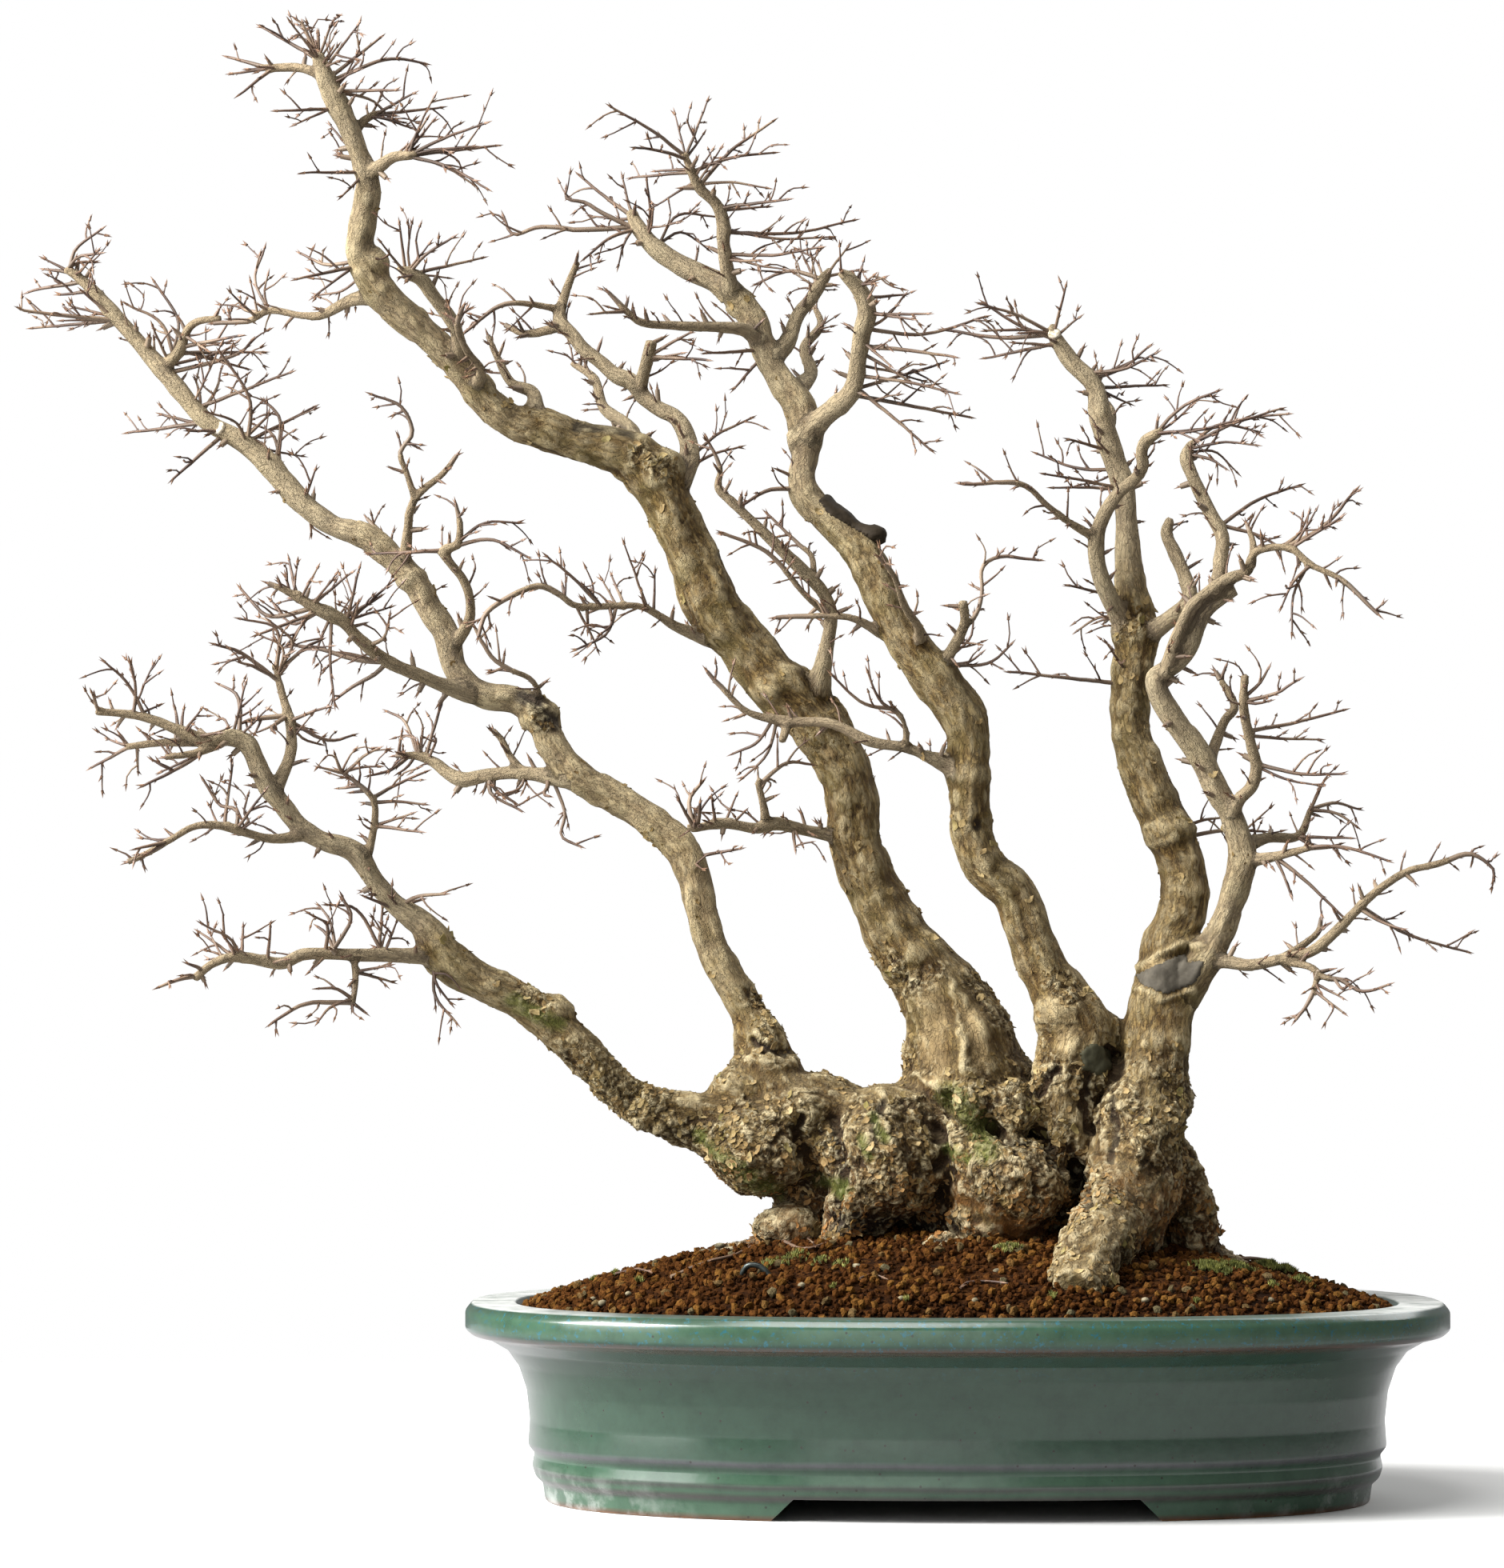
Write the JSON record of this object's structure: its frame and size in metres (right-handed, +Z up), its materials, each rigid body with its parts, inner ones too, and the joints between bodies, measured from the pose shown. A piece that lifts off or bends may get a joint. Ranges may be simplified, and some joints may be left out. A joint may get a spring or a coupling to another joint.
{
  "type": "hornbeam bonsai in pot",
  "caption": "Leafless clump bonsai: leaning trunks on one burled base, in mounded soil, in an oval glazed pot with a flat lip, banded wall and cut foot ring.",
  "frame": {"origin": "centre of the bounding box at the underside of the pot's foot ring", "axes": "+Z up, X along the pot's long way with the trunks leaning towards -X, viewing side towards -Y"},
  "size_m": [0.93, 0.46, 0.921],
  "materials": {
    "bark": "rough grey-beige bark with reddish-brown twigs",
    "soil": "matt fired-clay granules",
    "glazed_stoneware": "glossy mottled celadon green glaze, unglazed at the foot",
    "grey_paste": "matt grey sealing paste",
    "green_paste": "matt dark grey-green sealing paste",
    "black_paste": "matt black sealing paste",
    "training_wire": "dark anodised",
    "mesh_plastic": "black plastic mesh"
  },
  "bodies": {
    "root": {"tree": "bark", "soil": "soil", "pot": "glazed_stoneware", "cut_paste_trunk": "grey_paste", "cut_paste_fork": "green_paste", "cut_paste_scar": "black_paste", "anchor_wire": "training_wire", "drain_screen_left": "mesh_plastic", "drain_screen_right": "mesh_plastic"}
  },
  "joints": []
}
